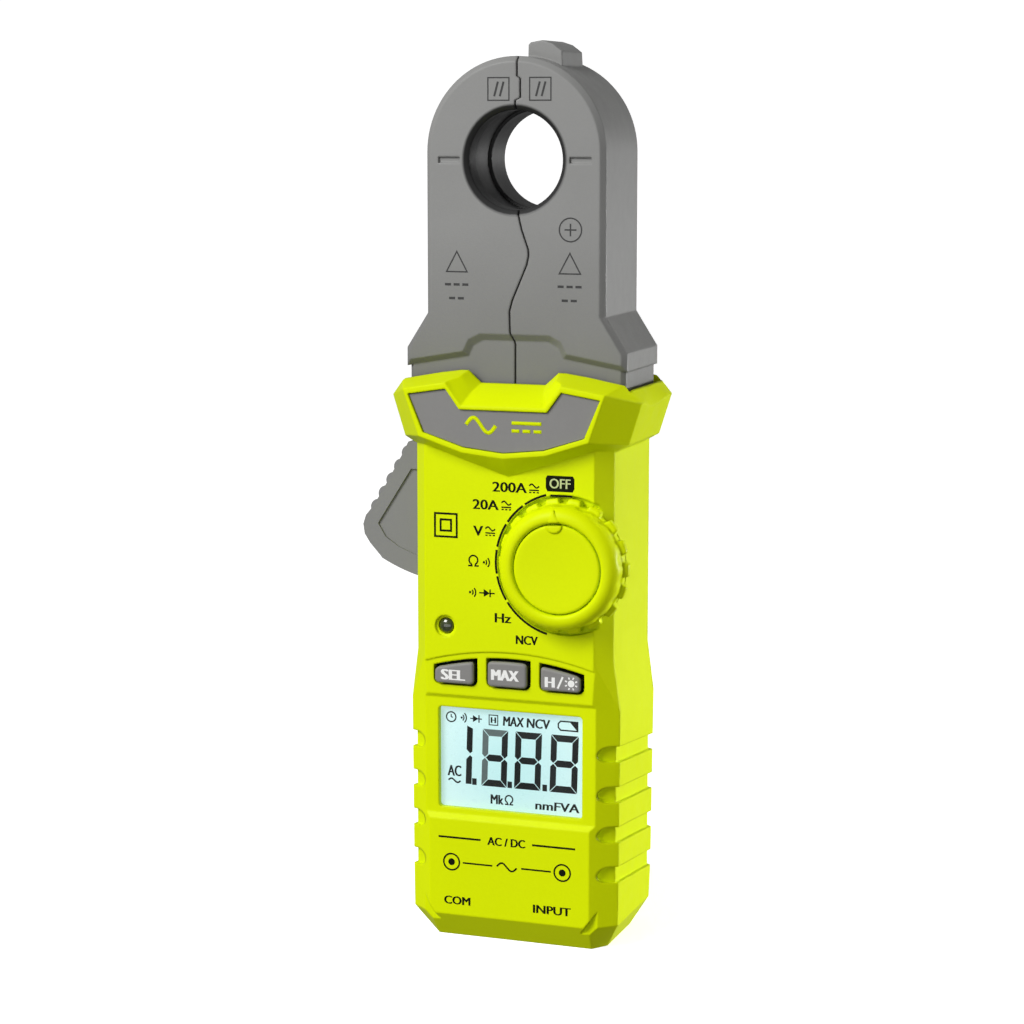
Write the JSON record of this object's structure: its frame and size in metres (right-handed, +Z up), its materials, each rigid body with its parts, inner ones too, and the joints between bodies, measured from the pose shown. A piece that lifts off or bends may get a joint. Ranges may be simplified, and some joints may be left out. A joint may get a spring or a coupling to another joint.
{
  "type": "clamp meter",
  "caption": "Hand-held clamp meter: hinged jaws opened by a side trigger, rotary selector, push buttons, backlit display and sockets for test leads in its foot.",
  "frame": {"origin": "centre of the flat foot that the meter stands on, under the middle of the body", "axes": "+Z up towards the jaws, -Y out of the front with the display, +X to the viewer's right when facing the display; the jaw opening runs along Y"},
  "size_m": [0.063, 0.0382, 0.1869],
  "materials": {
    "lime_abs": "lime yellow moulded plastic, satin gloss",
    "grey_abs": "grey moulded plastic, fine texture",
    "grey_rubber": "soft grey key rubber",
    "clear_window": "clear polished window",
    "lcd": "liquid crystal cell, polished",
    "white_plastic": "white moulded plastic",
    "black_plastic": "black moulded plastic",
    "red_plastic": "red moulded plastic",
    "board": "green printed circuit board",
    "steel": "bright steel",
    "brass": "plated brass",
    "ferrite": "dark laminated core",
    "cell_wrap": "printed cell sleeve, plain"
  },
  "bodies": {
    "housing": {"front_case": "lime_abs", "rear_case": "lime_abs", "badge_plate": "grey_abs", "display_window": "clear_window", "lcd_glass": "lcd", "lcd_frame": "white_plastic", "backlight_panel": "white_plastic", "zebra_strips": "grey_rubber", "main_board": "board", "controller_chips": "black_plastic", "tact_switches": "black_plastic", "buzzer": "black_plastic", "indicator_led": "clear_window", "ncv_antenna": "brass", "socket_sleeve_com": "black_plastic", "socket_sleeve_input": "red_plastic", "socket_contacts": "brass", "battery_tray": "black_plastic", "batteries": "cell_wrap", "battery_springs": "steel", "battery_plates": "steel", "case_screws": "steel", "jaw_pins": "steel", "jaw_spring": "steel"},
    "left_jaw": {"left_jaw_shell": "grey_abs", "left_jaw_cover": "grey_abs", "left_core": "ferrite", "left_lever": "steel", "trigger": "grey_abs", "trigger_pin": "steel", "left_jaw_screws": "steel"},
    "right_jaw": {"right_jaw_shell": "grey_abs", "right_jaw_cover": "grey_abs", "right_core": "ferrite", "right_lever": "steel", "hall_sensor": "black_plastic", "right_jaw_screws": "steel"},
    "selector": {"selector_knob": "lime_abs", "selector_cap": "lime_abs", "rotor": "white_plastic", "wiper_contacts": "brass", "rotor_screw": "steel", "detent_spring": "steel", "detent_ball": "steel"},
    "battery_door": {"battery_cover": "lime_abs", "battery_cover_screw": "steel"},
    "function_key": {"function_button": "grey_rubber"},
    "max_key": {"max_button": "grey_rubber"},
    "light_key": {"light_button": "grey_rubber"}
  },
  "joints": [
    {"name": "left_jaw_hinge", "type": "hinge", "parent": "housing", "child": "left_jaw", "pos_m": [-0.014, 0, 0.111], "axis": [0, -1, 0], "range_deg": [0, 10], "stiffness_Nm_per_rad": 0.5, "springref_deg": -20.05, "deforming": ["jaw_spring"]},
    {"name": "right_jaw_hinge", "type": "hinge", "parent": "housing", "child": "right_jaw", "pos_m": [0.014, 0, 0.111], "axis": [0, -1, 0], "range_deg": [-10, 0]},
    {"name": "selector_turn", "type": "hinge", "parent": "housing", "child": "selector", "pos_m": [0.0121, 0, 0.0815], "axis": [0, -1, 0], "range_deg": [0, 150.5]},
    {"name": "battery_door_lift", "type": "slide", "parent": "housing", "child": "battery_door", "axis": [0, 1, 0], "range_m": [0, 0.02]},
    {"name": "function_key_press", "type": "slide", "parent": "housing", "child": "function_key", "axis": [0, 1, 0], "range_m": [0, 0.0009], "stiffness_N_per_m": 800, "springref_m": -0.0008},
    {"name": "max_key_press", "type": "slide", "parent": "housing", "child": "max_key", "axis": [0, 1, 0], "range_m": [0, 0.0009], "stiffness_N_per_m": 800, "springref_m": -0.0008},
    {"name": "light_key_press", "type": "slide", "parent": "housing", "child": "light_key", "axis": [0, 1, 0], "range_m": [0, 0.0009], "stiffness_N_per_m": 800, "springref_m": -0.0008}
  ],
  "couplings": [
    {"joint": "right_jaw_hinge", "follows": "left_jaw_hinge", "ratio": -1}
  ]
}
